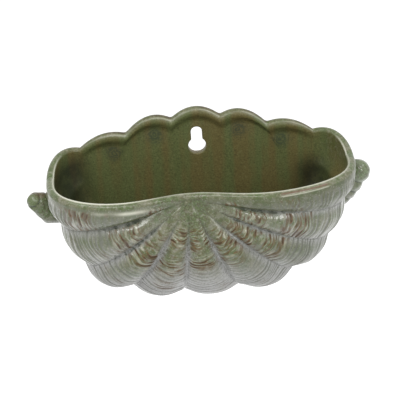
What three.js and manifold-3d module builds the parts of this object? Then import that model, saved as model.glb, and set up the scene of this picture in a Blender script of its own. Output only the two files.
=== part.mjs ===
// Hanging wall planter in the shape of a scallop shell: glazed stoneware, four clay pieces luted and fired.
// Millimetres. Origin: the middle of the keyhole's slot end on the wall plane, where the screw sits.
// +X is to the right, +Y into the wall and +Z up, so the ribbed front faces -Y.
import * as THREE from "three";
import { mergeVertices } from "three/addons/utils/BufferGeometryUtils.js";
import Module from "manifold-3d";

// Clay
const WALL = 6.5; // thickness of shell and back
const JOINT_GAP = 0.3; // slip line between a luted ear and the body

// Outline of the body where it is widest, which is also the seam between shell and back
const HALF_WIDTH = 122;
const RIM_HEIGHT = -15.6; // where the rolled rim starts
const DROP = 93.8; // from there down to the lowest groove
const OUTLINE_POWER = 2.3;
const SEAM_DEPTH = 42; // from the wall to the seam

// Front of the shell
const FRONT_DEPTH = 105.5; // from the wall to the crown, before the hinge is sunk
const PROFILE_POWER = 2.7;
const HINGE_OFFSET = -12; // the ribs' common point is left of the middle
const HINGE_SINK = 14.5;
const SINK_REACH = 41;

// Ribs from left to right: where each begins on the fan, in degrees, and its height over its width at the
// seam. The swell is added about halfway along a rib, over the same width.
const RIB_ANGLES = [0, 15.5, 39.3, 62, 82.5, 99.5, 122.5, 144.5, 166];
const RIB_RATIOS = [0.1, 0.11, 0.24, 0.19, 0.16, 0.19, 0.18, 0.1, 0.1];
const SWELL_RATIOS = [0.06, 0.075, 0.03, 0.045, 0.06, 0.045, 0.045, 0.075, 0.06];
const SWELL_SHARES = [0.05, 0.88]; // shares of the way from hinge to seam between which a rib swells
const GROOVE_CUTS = [0, 6, 0, 0, 0, 0, 0, 4.5, 7, 0]; // extra depth of the grooves, rim to rim
const INSIDE_RATIO = 0.6; // the ribs seen from inside the bowl, as a share of their height outside
const WALL_RATIO = 0.4; // what is left of the ribs where the body meets the wall

// Back
const CORNER_ROUND = 27; // from the widest outline in to the flat back, at the sides
const BOTTOM_ROUND = 18; // the same, at the bottom
const CORNER_RISE = 5.4; // how much higher the edge is at the end of the corner than at the seam
const CORNER_LOBE = 4.4;
const RISE_REACH = 22; // how far below the edge that rise runs out
const CUSP_SPOTS = [57, 19.6]; // cusps of the scalloped top edge, out to in, right of the middle
const CUSP_HEIGHTS = [-1.2, 8.7];
const LOBE_RISES = [5.5, 8.4, 9]; // lobes above the line between their cusps, out to in
const LOBE_COLUMNS = [11, 11, 10];
const TOP_BEAD = 2; // how much thicker the top edge is, on the inside
const BEAD_REACH = 5; // how far below the edge that thickening runs out
const BEAD_FADE = 18; // it starts at the corners, where the outline has dropped this far below the rim
const FLUTE = 1.2; // ridges between the flutes on the inside

// Keyhole
const SLOT_RADIUS = 4.5;
const HEAD_RADIUS = 7.2;
const HEAD_DROP = 12.2;

// Ears, rolled by hand and so not alike: a chain of clay balls down each end of the body, the knob first.
// Reaches are from the body's widest point outwards and falls from the rim down, to the middle of a ball.
const LEFT_EAR = {
  reaches: [11, 7.2, 4, 0.4, -6],
  falls: [21.2, 23.2, 28, 32.4, 33],
  radii: [7.3, 8.8, 8.9, 8.9, 8.5],
};
const RIGHT_EAR = {
  reaches: [4.8, -0.2, -4.2, -8.4],
  falls: [17.7, 27, 33.7, 39.2],
  radii: [9.8, 8.9, 8.1, 7.3],
};
const EAR_SETBACK = 9; // from the seam back towards the wall

// Mesh fineness
const RIB_COLUMNS = 6;
const FRONT_ROWS = 20;
const TURN_ROWS = 7;
const FLAT_SHARES = [0.3, 0.55, 0.75, 0.87, 0.94, 0.975, 1];
const LIP_STEPS = 5;
const KEYHOLE_STEPS = 12;
const BALL_SIDES = 24;
const WELD = 0.001; // corners closer than this are one

const wasm = await Module();
wasm.setup();

const lerp = THREE.MathUtils.lerp;
const signedPower = (value, exponent) => Math.sign(value) * Math.abs(value) ** exponent;
const bump = (share) => 1 - (2 * share - 1) ** 2;
const HINGE = new THREE.Vector2(HINGE_OFFSET, RIM_HEIGHT);

// Fan angles of the grooves: 0 is the left rim and 180 degrees the right rim.
const grooves = [...RIB_ANGLES, 180].map(THREE.MathUtils.degToRad);

// A point of the widest outline, moved inwards by inset, and the outline's outward normal there.
function outline(angle, inset) {
  const across = signedPower(Math.cos(angle), 2 / OUTLINE_POWER);
  const down = Math.max(Math.sin(angle), 0) ** (2 / OUTLINE_POWER);
  const normal = new THREE.Vector2(
    -signedPower(across, OUTLINE_POWER - 1) / HALF_WIDTH,
    -(down ** (OUTLINE_POWER - 1)) / DROP,
  ).normalize();
  const spot = new THREE.Vector2(-HALF_WIDTH * across, RIM_HEIGHT - DROP * down);
  return { spot: spot.addScaledVector(normal, -inset), normal, drop: DROP * down };
}

// Mesh columns run from the hinge to the wall, the same number on each rib.
const columns = RIB_RATIOS.flatMap((height, rib) => {
  const width = outline(grooves[rib], 0).spot.distanceTo(outline(grooves[rib + 1], 0).spot);
  return Array.from({ length: RIB_COLUMNS }, (_, step) => ({
    angle: lerp(grooves[rib], grooves[rib + 1], step / RIB_COLUMNS),
    relief: height * width * bump(step / RIB_COLUMNS),
    swell: SWELL_RATIOS[rib] * width * bump(step / RIB_COLUMNS),
    cut: lerp(GROOVE_CUTS[rib], GROOVE_CUTS[rib + 1], step / RIB_COLUMNS),
  }));
});
columns.push({ angle: Math.PI, relief: 0, swell: 0, cut: 0 });

// The body's skins differ in how far inside the outer face they lie and in how much of the ribs they show.
const OUTSIDE = { inset: 0, ribs: 1 };
const INSIDE = { inset: WALL, ribs: INSIDE_RATIO };
const SEAT = { inset: -JOINT_GAP, ribs: 1 };

// The front from the hinge (reach 0) to the seam (reach 1).
function frontPoint(column, reach, skin) {
  const along = Math.sin((reach * Math.PI) / 2) ** (2 / PROFILE_POWER);
  const ahead = Math.max(Math.cos((reach * Math.PI) / 2), 0) ** (2 / PROFILE_POWER);
  const { spot, normal } = outline(column.angle, skin.inset);
  const ray = spot.sub(HINGE);
  const sink = HINGE_SINK * ahead * Math.exp(-(((ray.length() * along) / SINK_REACH) ** 2));
  const depth = SEAM_DEPTH + (FRONT_DEPTH - skin.inset - SEAM_DEPTH) * ahead - sink;
  const sideways = along ** (PROFILE_POWER - 1) / normal.dot(ray);
  const forwards = ahead ** (PROFILE_POWER - 1) / (FRONT_DEPTH - SEAM_DEPTH);
  const facing = new THREE.Vector3(normal.x * sideways, -forwards, normal.y * sideways).normalize();
  const swelling = THREE.MathUtils.clamp(THREE.MathUtils.inverseLerp(...SWELL_SHARES, along), 0, 1);
  const swell = column.swell * bump(swelling) ** 2;
  const out = skin.ribs * (column.relief * along + swell) - column.cut * along;
  const spread = new THREE.Vector3(HINGE.x + ray.x * along, -depth, HINGE.y + ray.y * along);
  return spread.addScaledVector(facing, out);
}

// The back from the seam (turn 0) round to the wall (turn 1).
function backPoint(column, turn, skin) {
  const { spot, normal, drop } = outline(column.angle, skin.inset);
  const round = lerp(CORNER_ROUND, BOTTOM_ROUND, Math.sin(column.angle) ** 2) - skin.inset;
  const swing = (turn * Math.PI) / 2;
  const relief = (skin.ribs * column.relief - column.cut) * lerp(1, WALL_RATIO, turn);
  spot.addScaledVector(normal, relief - round * (1 - Math.cos(swing)));
  const lift = CORNER_RISE * turn + CORNER_LOBE * Math.sin(Math.PI * turn);
  const rise = lift * Math.exp(-((drop / RISE_REACH) ** 2));
  const floor = Math.max(skin.inset, 0);
  return new THREE.Vector3(spot.x, -SEAM_DEPTH + (SEAM_DEPTH - floor) * Math.sin(swing), spot.y + rise);
}

// The scalloped top edge of the back, one entry for each mesh column: x, z and the place within its lobe.
const cusps = [
  [HALF_WIDTH - CORNER_ROUND, RIM_HEIGHT + CORNER_RISE],
  ...CUSP_SPOTS.map((spot, index) => [spot, CUSP_HEIGHTS[index]]),
];
const edgeCusps = [...cusps.map(([x, z]) => [-x, z]), ...cusps.toReversed()];
const lobeRises = [...LOBE_RISES, ...LOBE_RISES.slice(0, -1).reverse()];
const lobeColumns = [...LOBE_COLUMNS, ...LOBE_COLUMNS.slice(0, -1).reverse()];
const topEdge = lobeRises.flatMap((rise, lobe) =>
  Array.from({ length: lobeColumns[lobe] }, (_, step) => {
    const share = step / lobeColumns[lobe];
    const [x, z] = [0, 1].map((axis) => lerp(edgeCusps[lobe][axis], edgeCusps[lobe + 1][axis], share));
    return { x, z: z + rise * bump(share), ridge: 1 - bump(share) };
  }),
);
topEdge.push({ x: edgeCusps.at(-1)[0], z: edgeCusps.at(-1)[1], ridge: 1 });

// The flat of the back, from its foot on the wall (climb 0) to the top edge (climb 1).
function flatPoint(index, climb, skin) {
  const foot = backPoint(columns[index], 1, skin);
  const edge = topEdge[index];
  const { drop } = outline(columns[index].angle, 0);
  const ridge = FLUTE * edge.ridge * climb ** 2 * (drop / DROP);
  const started = 1 - Math.exp(-((drop / BEAD_FADE) ** 2));
  const bead = TOP_BEAD * started * Math.exp(-(((drop * (1 - climb)) / BEAD_REACH) ** 2));
  const thickness = skin === INSIDE ? WALL + bead + ridge : 0;
  return new THREE.Vector3(lerp(foot.x, edge.x, climb), -thickness, lerp(foot.z, edge.z, climb));
}

// Triangles of a grid of points; flip turns its faces round. Those that a shared corner closes up are left
// out.
function gridTriangles(grid, flip) {
  const triangles = [];
  const add = (a, b, c) => {
    const flat = a.distanceTo(b) < WELD || b.distanceTo(c) < WELD || c.distanceTo(a) < WELD;
    if (!flat) triangles.push(flip ? [a, c, b] : [a, b, c]);
  };
  for (let i = 0; i + 1 < grid.length; i++) {
    for (let j = 0; j + 1 < grid[i].length; j++) {
      add(grid[i][j], grid[i + 1][j], grid[i + 1][j + 1]);
      add(grid[i][j], grid[i + 1][j + 1], grid[i][j + 1]);
    }
  }
  return triangles;
}

// The half round that rolls from an outer edge point over to the inner one.
function lipArc(outer, inner) {
  const middle = outer.clone().lerp(inner, 0.5);
  const half = inner.clone().sub(middle);
  return Array.from({ length: LIP_STEPS + 1 }, (_, step) => {
    const turn = (step / LIP_STEPS) * Math.PI;
    const rolled = middle.clone().addScaledVector(half, -Math.cos(turn));
    rolled.z += half.length() * Math.sin(turn);
    return rolled;
  });
}

// One clay sheet: outer and inner columns that start at the seam, and the edges where a lip joins them.
function sheetTriangles(outer, inner, outerEdge, innerEdge, flip) {
  const lip = outerEdge.map((point, index) => lipArc(point, innerEdge[index]));
  const seam = outer.map((column, index) => [column[0], inner[index][0]]);
  const ends = [lip[0], lip.at(-1)].map((arc) => arc.slice(1).map((point) => [arc[0], point]));
  return [
    ...gridTriangles(outer, flip),
    ...gridTriangles(inner, !flip),
    ...gridTriangles(lip, flip),
    ...gridTriangles(seam, !flip),
    ...gridTriangles(ends[0], !flip),
    ...gridTriangles(ends[1], flip),
  ];
}

function geometryOf(triangles) {
  const geometry = new THREE.BufferGeometry().setFromPoints(triangles.flat());
  return mergeVertices(geometry, WELD);
}

function solidOf(geometry) {
  const positions = new THREE.BufferGeometry().setAttribute("position", geometry.getAttribute("position"));
  if (geometry.index) positions.setIndex(geometry.index);
  const merged = mergeVertices(positions, WELD);
  return new wasm.Manifold(
    new wasm.Mesh({
      numProp: 3,
      vertProperties: new Float32Array(merged.attributes.position.array),
      triVerts: new Uint32Array(merged.index.array),
    }),
  );
}

function geometryFrom(solid) {
  const mesh = solid.getMesh();
  const geometry = new THREE.BufferGeometry();
  geometry.setAttribute("position", new THREE.BufferAttribute(mesh.vertProperties, 3));
  geometry.setIndex(new THREE.BufferAttribute(mesh.triVerts, 1));
  geometry.computeVertexNormals();
  return geometry;
}

// Front shell
const frontSkin = (skin) =>
  columns.map((column) =>
    Array.from({ length: FRONT_ROWS + 1 }, (_, row) => frontPoint(column, 1 - row / FRONT_ROWS, skin)),
  );
const rimOf = (skin) => [...skin[0], ...skin.at(-1).toReversed().slice(1)];

// Back plate
const backSkin = (skin, flatRows) =>
  columns.map((column, index) => [
    ...Array.from({ length: TURN_ROWS + 1 }, (_, row) => backPoint(column, row / TURN_ROWS, skin)),
    ...flatRows.map((climb) => flatPoint(index, climb, skin)),
  ]);
const topOf = (skin) => [
  ...skin[0].slice(0, TURN_ROWS),
  ...skin.map((column) => column.at(-1)),
  ...skin.at(-1).slice(0, TURN_ROWS).reverse(),
];

function sheet(outer, inner, edgeOf, flip) {
  return solidOf(geometryOf(sheetTriangles(outer, inner, edgeOf(outer), edgeOf(inner), flip)));
}

const frontShell = sheet(frontSkin(OUTSIDE), frontSkin(INSIDE), rimOf, false);
const plainBack = sheet(backSkin(OUTSIDE, [1]), backSkin(INSIDE, FLAT_SHARES), topOf, true);

// Keyhole: a round head hole for the screw, and above it the slot that the screw slides into.
function keyhole() {
  const meet = Math.asin(SLOT_RADIUS / HEAD_RADIUS);
  const shape = new THREE.Shape();
  shape.absarc(0, 0, SLOT_RADIUS, 0, Math.PI, false);
  shape.absarc(0, -HEAD_DROP, HEAD_RADIUS, Math.PI / 2 + meet, Math.PI * 2.5 - meet, false);
  const through = 2 * (WALL + TOP_BEAD + FLUTE);
  const cutter = new THREE.ExtrudeGeometry(shape, {
    depth: through,
    bevelEnabled: false,
    curveSegments: KEYHOLE_STEPS,
  });
  return solidOf(cutter.rotateX(Math.PI / 2).translate(0, through / 4, 0));
}

// The body's outer face grown by the slip line, closed with a lid over the bowl: what an ear is fitted to.
function earSeat() {
  const lid = new THREE.Vector3(0, -SEAM_DEPTH, RIM_HEIGHT);
  const closed = (skin, edgeOf, flip) => [
    ...gridTriangles(skin, flip),
    ...gridTriangles(
      edgeOf(skin).map((point) => [point, lid]),
      flip,
    ),
  ];
  const triangles = [
    ...closed(frontSkin(SEAT), rimOf, false),
    ...closed(backSkin(SEAT, [1]), topOf, true),
  ];
  return solidOf(geometryOf(triangles));
}

// An ear: its balls pressed together. Side is -1 for left and 1 for right.
function ear(side, { reaches, falls, radii }) {
  const depth = EAR_SETBACK - SEAM_DEPTH;
  const balls = radii.map((radius, index) => {
    const ball = new THREE.SphereGeometry(radius, BALL_SIDES, BALL_SIDES / 2);
    return solidOf(ball.translate(side * (HALF_WIDTH + reaches[index]), depth, RIM_HEIGHT - falls[index]));
  });
  return wasm.Manifold.union(balls);
}

const seat = earSeat();
const glaze = (color) => new THREE.MeshStandardMaterial({ color, roughness: 0.35, metalness: 0 });
const pieces = [
  ["front_shell", frontShell, 0x87907a],
  ["back_plate", plainBack.subtract(keyhole()), 0x5a5a38],
  ["left_ear", ear(-1, LEFT_EAR).subtract(seat), 0x7c8a68],
  ["right_ear", ear(1, RIGHT_EAR).subtract(seat), 0x7c8a68],
];

const planter = new THREE.Group();
planter.name = "shell_wall_planter";
for (const [name, solid, color] of pieces) {
  const mesh = new THREE.Mesh(geometryFrom(solid), glaze(color));
  mesh.name = name;
  planter.add(mesh);
}

export default planter;
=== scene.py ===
"""Looks of the shell wall planter: the glazed clay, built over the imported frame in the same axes."""

import math

import bmesh
import bpy
import numpy as np
from mathutils import Euler, Matrix, Vector
from mathutils.kdtree import KDTree


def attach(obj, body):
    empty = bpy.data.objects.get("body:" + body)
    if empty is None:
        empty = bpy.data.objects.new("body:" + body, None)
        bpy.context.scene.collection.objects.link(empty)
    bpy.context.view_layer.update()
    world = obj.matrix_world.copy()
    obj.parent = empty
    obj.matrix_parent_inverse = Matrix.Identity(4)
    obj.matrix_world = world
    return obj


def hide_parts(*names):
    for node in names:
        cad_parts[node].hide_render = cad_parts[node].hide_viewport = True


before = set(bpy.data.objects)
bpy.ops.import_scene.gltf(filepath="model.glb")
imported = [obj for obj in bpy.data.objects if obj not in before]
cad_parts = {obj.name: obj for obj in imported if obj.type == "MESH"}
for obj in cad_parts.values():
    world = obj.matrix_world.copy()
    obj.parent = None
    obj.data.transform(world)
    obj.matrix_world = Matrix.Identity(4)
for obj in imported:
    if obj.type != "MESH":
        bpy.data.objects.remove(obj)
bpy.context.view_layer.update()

MM = 0.001

# Sizes of the part in millimetres, as in its source
WALL = 6.5
HALF_WIDTH = 122.0
RIM_HEIGHT = -15.6
DROP = 93.8
OUTLINE_POWER = 2.3
SEAM_DEPTH = 42.0
FRONT_DEPTH = 105.5
PROFILE_POWER = 2.7
HINGE_OFFSET = -12.0
HINGE_SINK = 14.5
SINK_REACH = 41.0
RIB_ANGLES = [0, 15.5, 39.3, 62, 82.5, 99.5, 122.5, 144.5, 166]
RIB_RATIOS = [0.1, 0.11, 0.24, 0.19, 0.16, 0.19, 0.18, 0.1, 0.1]
SWELL_RATIOS = [0.06, 0.075, 0.03, 0.045, 0.06, 0.045, 0.045, 0.075, 0.06]
SWELL_SHARES = [0.05, 0.88]
GROOVE_CUTS = [0, 6, 0, 0, 0, 0, 0, 4.5, 7, 0]
INSIDE_RATIO = 0.6
WALL_RATIO = 0.4
CORNER_ROUND = 27.0
BOTTOM_ROUND = 18.0
CORNER_RISE = 5.4
CORNER_LOBE = 4.4
RISE_REACH = 22.0
CUSP_SPOTS = [57, 19.6]
CUSP_HEIGHTS = [-1.2, 8.7]
LOBE_RISES = [5.5, 8.4, 9]
LOBE_COLUMNS = [11, 11, 10]
TOP_BEAD = 2.0
BEAD_FADE = 18.0
FLUTE = 1.2
SLOT_RADIUS = 4.5
HEAD_RADIUS = 7.2
HEAD_DROP = 12.2
LEFT_EAR = {
    "reaches": [11, 7.2, 4, 0.4, -6],
    "falls": [21.2, 23.2, 28, 32.4, 33],
    "radii": [7.3, 8.8, 8.9, 8.9, 8.5],
}
RIGHT_EAR = {
    "reaches": [4.8, -0.2, -4.2, -8.4],
    "falls": [17.7, 27, 33.7, 39.2],
    "radii": [9.8, 8.9, 8.1, 7.3],
}
EAR_SETBACK = 9.0

# What the looks add to the solids, also in millimetres; a pair says from where to where it comes in
RING_PITCH = 3.0
RING_SPREAD = 0.01
RING_RATES = [1, 1, 1, 1.12, 1.15, 1.15, 1, 1, 1]
RING_DEPTH = 1.05
RING_SHARPNESS = 1.2
RING_MEAN = 0.4
RING_STRENGTHS = (0.15, 1)
RINGS_PER_RIB = 96
RING_BOW = 0.16
RING_WAVER = 0.16
# Turns of the waver across one rib and along each millimetre
RING_WAVER_TURNS = (1.4, 0.03)
# Waves that make the rings uneven: the length along the rib and the size in rings
RING_WAVES = [(31, 0.3), (17, 0.14), (9.3, 0.05), (5.9, 0.03)]
RINGS_GROW = (45, 100)
RINGS_BELOW_RIM = (3, 8)
RINGS_TO_WALL = 4.0
FULL_WIDTH_AT = 120.0
GROOVE_DEPTH = 0.6
GROOVE_WIDTH = 1.8
GROOVE_SHADES = [0.7, 0.8, 0.9, 0.35, 0.25, 0.25, 0.3, 0.9, 1.0, 1.0]
GROOVE_START = (20, 44)
GROOVE_END = (60, 105)
GROOVE_TO_WALL = 6.0
CLEAR_OF_GROOVE = 2.5
GLOSS_OFF_GROOVE = 3.0
HINGE_FILL = 0.9
HINGE_FILL_WIDTH = 2.4
HINGE_FILL_START = (3, 14)
HINGE_FILL_END = (22, 46)
VALLEY_FILL = 1.1
VALLEY_WIDTH = 2.8
VALLEY_TO_WALL = 8.0
RIB_GLOSS = [1.0, 1.0, 0.25, 0.25, 0.3, 0.2, 0.25, 1.0, 0.5]
# Painted shade: how much darker green each rib is drawn, most on the ribs by the rim
PAINTED_SHADE_ON_RIBS = [0.5, 0.28, 0, 0, 0, 0.14, 0.25, 0.15, 0.55]
# Clusters of brown strokes on each rib: the distance from the hinge and the reach along the rib
STREAKS = [
    [(30, 9), (90, 13)],
    [(54, 14)],
    [(57, 12)],
    [(32, 8), (57, 8)],
    [(33, 9), (52, 6)],
    [(44, 13)],
    [(50, 13), (76, 9)],
    [(48, 13), (86, 12)],
    [(34, 7)],
]
SCATTER_START = (16, 40)
SCATTER_END = (65, 125)
ROLL_HEIGHT = 0.5
ROLL_REACH = 4.6
ROLL_END = (0.6, 1)
LUMP_HEIGHT = 0.22
LUMP_REACH = 42.0
LUMP_BELOW_RIM = 6.0
LUMP_WAVES = 7
LUMP_SPREAD = (0.7, 1.5)
BACK_BEAD = (0.3, 7.5)
CUSP_SOFTNESS = 1.1
NICHE_DEPTH = 1.3
NICHE_REACH = 15.0
NICHE_START = (1, 6)
SWIRL_SPOTS = [34, 68]
SWIRL_DROP = 12.5
SWIRL_RADIUS = 11.0
KEYHOLE_REACH = 15.0
KEYHOLE_ROUND = 1.1
KEYHOLE_CLOSED = 0.001
KEYHOLE_FROM = (-30, -20)
KEYHOLE_TO = (5, 12)
KEYHOLE_CROWDING = 1.6
EAR_SINK = 2.5
EAR_BLEND = 0.5
EAR_LUMPS = 0.16
EAR_CREASE = 0.8
FACE_TOWARDS = (-0.32, -0.69, 0.65)
FACE_RADIUS = 6.0
FACE_GROOVE = 0.5
FACE_EDGE = 0.9
WORN_SPAN = (54, 98)
WORN_FADE = 6.0
# A painted highlight along the shoulder of the left end rib just below the rim: its span across, fade, drop
# and width
SHOULDER_SPAN = (-100, -36)
SHOULDER_FADE = 20.0
SHOULDER_DROP = 3.0
SHOULDER_WIDTH = 1.2
# How the painted highlight along the front rim grows away from the hinge and fades to the right
RIM_BRIGHT = (20, 55)
RIM_QUIET = (-20, 40)
# Dark glaze pooled in the inside's corners with painted shade there: where it lies across and how deep
LEFT_POOL_AND_SHADE = (80, 104)
LEFT_POOL_AND_SHADE_DEPTH = (6, 22)
RIGHT_POOL_AND_SHADE = (72, 92)
RIGHT_POOL_AND_SHADE_END = (97, 111)
RIGHT_POOL_AND_SHADE_DEPTH = (22, 42)
THIN_GLAZE = (98, 112)
THIN_GLAZE_REACH = 11.0

# Where the ears lie in the pattern of the ribs' glaze
EAR_STROKES = 12.0
EAR_ALONG = 30.0
EAR_BELOW = 10.0

# Fineness of the meshes
RIB_COLUMNS = 32
CROWDING = 0.6
FRONT_ROWS = 330
TURN_ROWS = 120
FOOT_ROWS = 28
APPROACH_ROWS = 9
APPROACH_SPAN = (-27, -26)
HEAD_ROWS = 26
NECK_ROWS = 8
SLOT_ROWS = 14
UPPER_ROWS = 30
INSIDE_STEP = 4
LIP_STEPS = 16
BALL_DETAIL = 5
EAR_VOXEL = 0.35
SETTLE_STEPS = 4
ARC_SAMPLES = 2001
HINGE_NORMAL_ROW = 4
WELD_DIGITS = 4

rng = np.random.default_rng(7)


def lerp(a, b, share):
    """The value at a share of the way from a to b."""
    return a + (b - a) * share


def bump(share):
    """A round hump: 0 at the shares 0 and 1, and 1 halfway."""
    return 1 - (2 * share - 1) ** 2


def smoothstep(low, high, value):
    """A soft step from 0 at low to 1 at high."""
    share = np.clip((value - low) / (high - low), 0, 1)
    return share * share * (3 - 2 * share)


def bell(value, width):
    """1 at zero, fading out on both sides over about the width."""
    return np.exp(-((value / width) ** 2))


def signed_power(value, exponent):
    """A power that keeps the sign."""
    return np.sign(value) * np.abs(value) ** exponent


def unit(vectors):
    """Vectors brought to the length 1."""
    return vectors / np.maximum(np.linalg.norm(vectors, axis=-1, keepdims=True), 1e-12)


# Columns of the fan, closest together at the grooves; the last column is the right rim.
grooves = np.radians(RIB_ANGLES + [180])
even_spot = np.arange(len(RIB_RATIOS) * RIB_COLUMNS + 1) / RIB_COLUMNS
column_rib = np.minimum(even_spot.astype(int), len(RIB_RATIOS) - 1)
even_share = even_spot - column_rib
column_share = lerp(even_share, smoothstep(0, 1, even_share), CROWDING)
column_spot = column_rib + column_share
middle_column = len(column_spot) // 2


def outline(angle, inset):
    """Points of the widest outline moved in by inset, its outward normals and the drop below the rim."""
    across = signed_power(np.cos(angle), 2 / OUTLINE_POWER)
    down = np.maximum(np.sin(angle), 0) ** (2 / OUTLINE_POWER)
    normal_x = -signed_power(across, OUTLINE_POWER - 1) / HALF_WIDTH
    normal_z = -(down ** (OUTLINE_POWER - 1)) / DROP
    length = np.hypot(normal_x, normal_z)
    normal_x, normal_z = normal_x / length, normal_z / length
    x = -HALF_WIDTH * across - inset * normal_x
    z = RIM_HEIGHT - DROP * down - inset * normal_z
    return x, z, normal_x, normal_z, DROP * down


groove_x, groove_z = outline(grooves, 0)[:2]
rib_widths = np.hypot(np.diff(groove_x), np.diff(groove_z))
angles = lerp(grooves[column_rib], grooves[column_rib + 1], column_share)[:, None]
reliefs = (np.array(RIB_RATIOS) * rib_widths)[column_rib] * bump(column_share)
swells = (np.array(SWELL_RATIOS) * rib_widths)[column_rib] * bump(column_share)
cuts = np.interp(column_spot, np.arange(len(GROOVE_CUTS)), GROOVE_CUTS)
reliefs, swells, cuts = reliefs[:, None], swells[:, None], cuts[:, None]


class Skin:
    """A face of the clay: how far inside the outer face it lies and how much of the ribs it shows."""

    def __init__(self, inset, ribs):
        self.inset, self.ribs = inset, ribs


OUTSIDE = Skin(0, 1)
INSIDE = Skin(WALL, INSIDE_RATIO)


def front_points(pick, reach, skin):
    """The front from the hinge (reach 0) to the seam (reach 1), a row for each picked column."""
    angle, relief, cut = angles[pick], reliefs[pick], cuts[pick]
    along = np.sin(reach * math.pi / 2) ** (2 / PROFILE_POWER)
    ahead = np.maximum(np.cos(reach * math.pi / 2), 0) ** (2 / PROFILE_POWER)
    x, z, normal_x, normal_z, _ = outline(angle, skin.inset)
    ray_x, ray_z = x - HINGE_OFFSET, z - RIM_HEIGHT
    sink = HINGE_SINK * ahead * bell(np.hypot(ray_x, ray_z) * along, SINK_REACH)
    depth = SEAM_DEPTH + (FRONT_DEPTH - skin.inset - SEAM_DEPTH) * ahead - sink
    sideways = along ** (PROFILE_POWER - 1) / (normal_x * ray_x + normal_z * ray_z)
    forwards = ahead ** (PROFILE_POWER - 1) / (FRONT_DEPTH - SEAM_DEPTH) + 0 * sideways
    facing = unit(np.stack([normal_x * sideways, -forwards, normal_z * sideways], -1))
    base = np.stack([HINGE_OFFSET + ray_x * along, -depth, RIM_HEIGHT + ray_z * along], -1)
    swelling = np.clip((along - SWELL_SHARES[0]) / (SWELL_SHARES[1] - SWELL_SHARES[0]), 0, 1)
    swell = swells[pick] * bump(swelling) ** 2
    out = skin.ribs * (relief * along + swell) - cut * along
    return base + facing * out[..., None]


def back_points(pick, turn, skin):
    """The back from the seam (turn 0) round to the wall (turn 1), a row for each picked column."""
    angle, relief, cut = angles[pick], reliefs[pick], cuts[pick]
    x, z, normal_x, normal_z, drop = outline(angle, skin.inset)
    round_off = lerp(CORNER_ROUND, BOTTOM_ROUND, np.sin(angle) ** 2) - skin.inset
    swing = turn * math.pi / 2
    out = (skin.ribs * relief - cut) * lerp(1, WALL_RATIO, turn) - round_off * (1 - np.cos(swing))
    lift = CORNER_RISE * turn + CORNER_LOBE * np.sin(math.pi * turn)
    rise = lift * bell(drop, RISE_REACH)
    y = -SEAM_DEPTH + (SEAM_DEPTH - skin.inset) * np.sin(swing) + 0 * out
    return np.stack([x + normal_x * out, y, z + normal_z * out + rise], -1)


# The scalloped top edge of the back with soft cusps: for each column its place in a lobe and its point
cusps = [(HALF_WIDTH - CORNER_ROUND, RIM_HEIGHT + CORNER_RISE), *zip(CUSP_SPOTS, CUSP_HEIGHTS)]
edge_cusps = np.array([(-x, z) for x, z in cusps] + cusps[::-1])
lobe_rises = np.array(LOBE_RISES + LOBE_RISES[-2::-1])
lobe_columns = np.array(LOBE_COLUMNS + LOBE_COLUMNS[-2::-1])
lobe_starts = np.concatenate([[0], np.cumsum(lobe_columns)])
edge_spot = column_spot / column_spot[-1] * lobe_starts[-1]
lobe = np.clip(np.searchsorted(lobe_starts, edge_spot, side="right") - 1, 0, len(lobe_rises) - 1)
lobe_share = (edge_spot - lobe_starts[lobe]) / lobe_columns[lobe]
edge_x = lerp(edge_cusps[lobe, 0], edge_cusps[lobe + 1, 0], lobe_share)
arch_share = (edge_x[:, None] - edge_cusps[:-1, 0]) / np.diff(edge_cusps[:, 0])
arches = lerp(edge_cusps[:-1, 1], edge_cusps[1:, 1], arch_share) + lobe_rises * bump(arch_share)
edge_z = CUSP_SOFTNESS * np.log(np.sum(np.exp(arches / CUSP_SOFTNESS), axis=1))


def flat_points(pick, climb, skin):
    """The flat of the back, from its foot on the wall (climb 0) to the top edge (climb 1)."""
    foot = back_points(pick, np.ones((1, 1)), skin)
    drop = outline(angles[pick], 0)[4]
    x = lerp(foot[..., 0], edge_x[pick][:, None], climb)
    z = lerp(foot[..., 2], edge_z[pick][:, None], climb)
    if skin is OUTSIDE:
        return np.stack([x, 0 * x, z], -1)
    share = lobe_share[pick][:, None]
    ridge = FLUTE * (1 - bump(share)) * climb**2 * (drop / DROP)
    below = drop * (1 - climb)
    started = 1 - bell(drop, BEAD_FADE)
    bead = TOP_BEAD * started * (1 - smoothstep(*BACK_BEAD, below))
    niche = NICHE_DEPTH * bump(share) * bell(below, NICHE_REACH) * smoothstep(*NICHE_START, below)
    return np.stack([x, -(WALL + bead + ridge - niche), z], -1)


def arc_rows(make, count):
    """Row positions from 0 to 1 that are evenly spaced along the middle of the fan."""
    fine = np.linspace(0, 1, ARC_SAMPLES)
    middle = make(np.array([middle_column]), fine[None], OUTSIDE)[0]
    length = np.concatenate([[0], np.cumsum(np.linalg.norm(np.diff(middle, axis=0), axis=1))])
    return np.interp(np.linspace(0, length[-1], count + 1), length, fine)


front_rows = arc_rows(front_points, FRONT_ROWS)
turn_rows = arc_rows(back_points, TURN_ROWS)
everywhere = np.arange(len(column_spot))
inside_columns = everywhere[::INSIDE_STEP]


def grid_normals(grid):
    """Outward normals of a grid whose columns run left to right and rows from the hinge to the wall."""
    down = np.gradient(grid, axis=1)
    across = np.gradient(grid, axis=0)
    normals = unit(np.cross(down, across))
    # All columns meet at the hinge, so its normal is the mean of a row close by.
    normals[:, 0] = unit(normals[:, HINGE_NORMAL_ROW].mean(0))
    return normals


def along_rows(grid):
    """Distance along each column from its first point."""
    steps = np.linalg.norm(np.diff(grid, axis=1), axis=2)
    return np.concatenate([np.zeros((len(grid), 1)), np.cumsum(steps, axis=1)], 1)


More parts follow.
